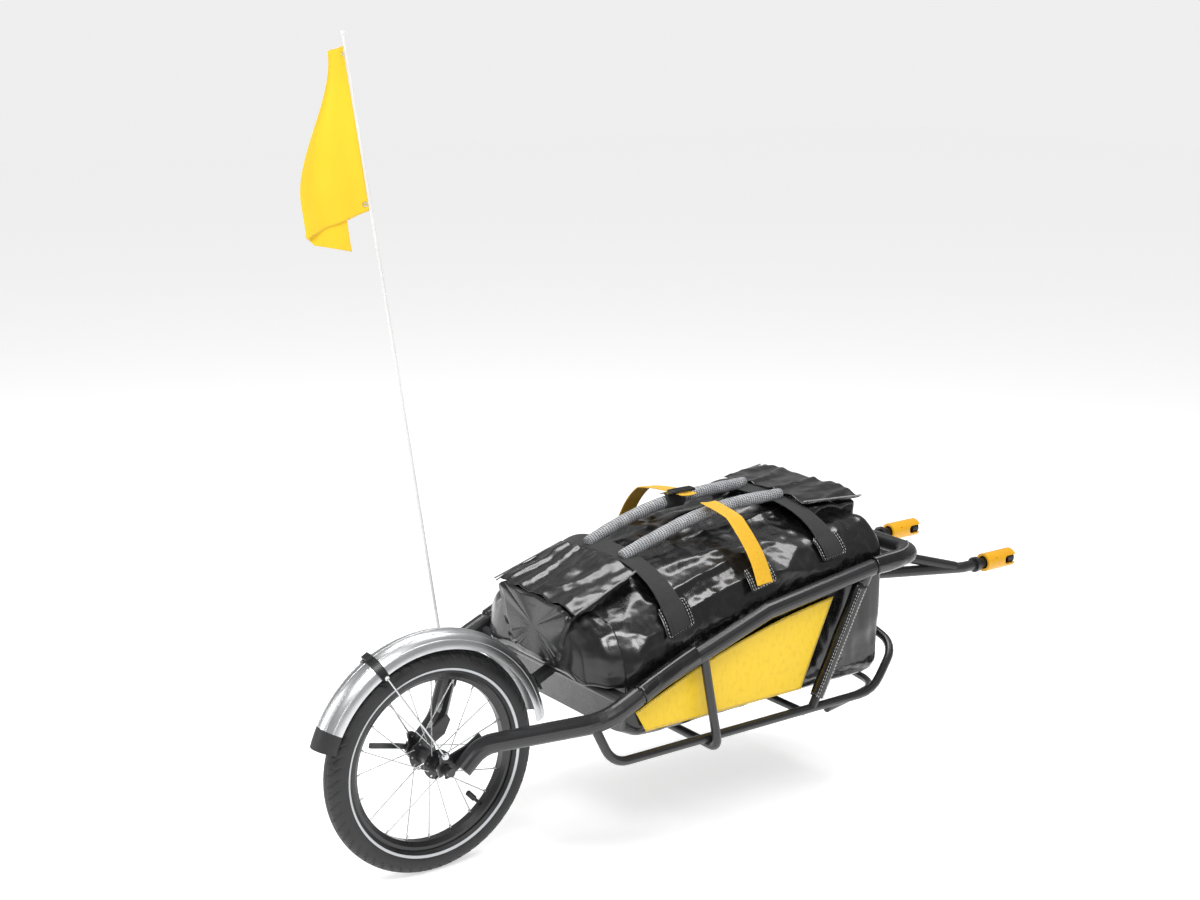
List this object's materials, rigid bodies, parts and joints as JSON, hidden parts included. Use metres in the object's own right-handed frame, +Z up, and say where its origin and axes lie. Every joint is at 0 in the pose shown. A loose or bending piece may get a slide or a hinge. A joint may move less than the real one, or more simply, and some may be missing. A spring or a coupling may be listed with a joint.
{
  "type": "single-wheel bicycle cargo trailer",
  "caption": "Single-wheel bicycle cargo trailer: tube frame with steering fork, quick-release wheel, mudguard, strapped dry bag and safety flag.",
  "frame": {"origin": "on the ground under the middle of the trailer's length and width", "axes": "+X forward towards the bicycle, +Y to the left, +Z up; the tyre stands on Z = 0"},
  "size_m": [1.4948, 0.5234, 1.4078],
  "materials": {
    "tyre": "satin",
    "butyl_rubber": "matte",
    "black_plastic": "satin",
    "rim_black": "satin",
    "steel": "satin",
    "hub_black": "gloss",
    "frame_black": "gloss",
    "hook_steel": "satin",
    "bush_bronze": "satin",
    "ring_rubber": "matte",
    "lock_yellow": "gloss",
    "mudguard_silver": "satin",
    "tarpaulin_black": "coated",
    "panel_yellow": "coated",
    "webbing_black": "woven",
    "grip_mesh": "mesh",
    "strap_yellow": "coated",
    "pole_white": "satin",
    "flag_yellow": "thin"
  },
  "bodies": {
    "frame": {"axle": "steel", "axle_locknuts": "hub_black", "skewer": "steel", "skewer_nut": "hub_black", "cam_housing": "hub_black", "right_dropout": "frame_black", "left_dropout": "frame_black", "right_rear_arm": "frame_black", "left_rear_arm": "frame_black", "right_rail": "frame_black", "left_rail": "frame_black", "front_tube": "frame_black", "rear_cross_tube": "frame_black", "right_loop_tube": "frame_black", "left_loop_tube": "frame_black", "front_loop": "frame_black", "front_skid": "frame_black", "mid_hoop": "frame_black", "right_front_strut": "frame_black", "left_front_strut": "frame_black", "bed_cross_tube": "frame_black", "head_lugs": "frame_black", "steering_pin": "steel", "pin_clip": "steel", "mudguard": "mudguard_silver", "mudguard_flap": "ring_rubber", "mudguard_brackets": "black_plastic", "mudguard_stays": "steel", "stay_bolts": "steel", "dry_bag": "tarpaulin_black", "side_panels": "panel_yellow", "rail_wraps": "tarpaulin_black", "strut_wraps": "tarpaulin_black", "handle_patches": "tarpaulin_black", "handle_straps": "webbing_black", "handle_grips": "grip_mesh", "centre_strap": "strap_yellow", "strap_buckle": "black_plastic", "flag_socket": "black_plastic"},
    "wheel": {"tyre": "tyre", "inner_tube": "butyl_rubber", "valve_cap": "black_plastic", "rim": "rim_black", "spokes": "steel", "spoke_nipples": "steel", "hub_shell": "hub_black", "hub_bearings": "steel"},
    "quick_release": {"quick_release_lever": "hub_black"},
    "fork": {"fork_barrel": "frame_black", "fork_bushes": "bush_bronze", "right_fork_arm": "frame_black", "left_fork_arm": "frame_black", "right_hook": "hook_steel", "left_hook": "hook_steel", "sleeve_o_rings": "ring_rubber"},
    "right_sleeve": {"right_lock_sleeve": "lock_yellow"},
    "left_sleeve": {"left_lock_sleeve": "lock_yellow"},
    "flag_staff": {"flag_pole": "pole_white", "flag": "flag_yellow"}
  },
  "joints": [
    {"name": "wheel_spin", "type": "hinge", "parent": "frame", "child": "wheel", "pos_m": [-0.52663, 0, 0.1995], "axis": [0, 1, 0], "continuous": true},
    {"name": "lever_swing", "type": "hinge", "parent": "frame", "child": "quick_release", "pos_m": [-0.52663, 0.068, 0.1995], "axis": [-0.2079, 0, -0.9781], "range_deg": [0, 90]},
    {"name": "fork_steer", "type": "hinge", "parent": "frame", "child": "fork", "pos_m": [0.36337, 0, 0.407], "axis": [0, 0, 1], "range_deg": [-45, 45]},
    {"name": "right_sleeve_slide", "type": "slide", "parent": "fork", "child": "right_sleeve", "axis": [-1, 0, 0], "range_m": [0, 0.018]},
    {"name": "left_sleeve_slide", "type": "slide", "parent": "fork", "child": "left_sleeve", "axis": [-1, 0, 0], "range_m": [0, 0.018]},
    {"name": "flag_pull", "type": "slide", "parent": "frame", "child": "flag_staff", "axis": [-0.1513, 0, 0.9885], "range_m": [0, 0.03]}
  ]
}
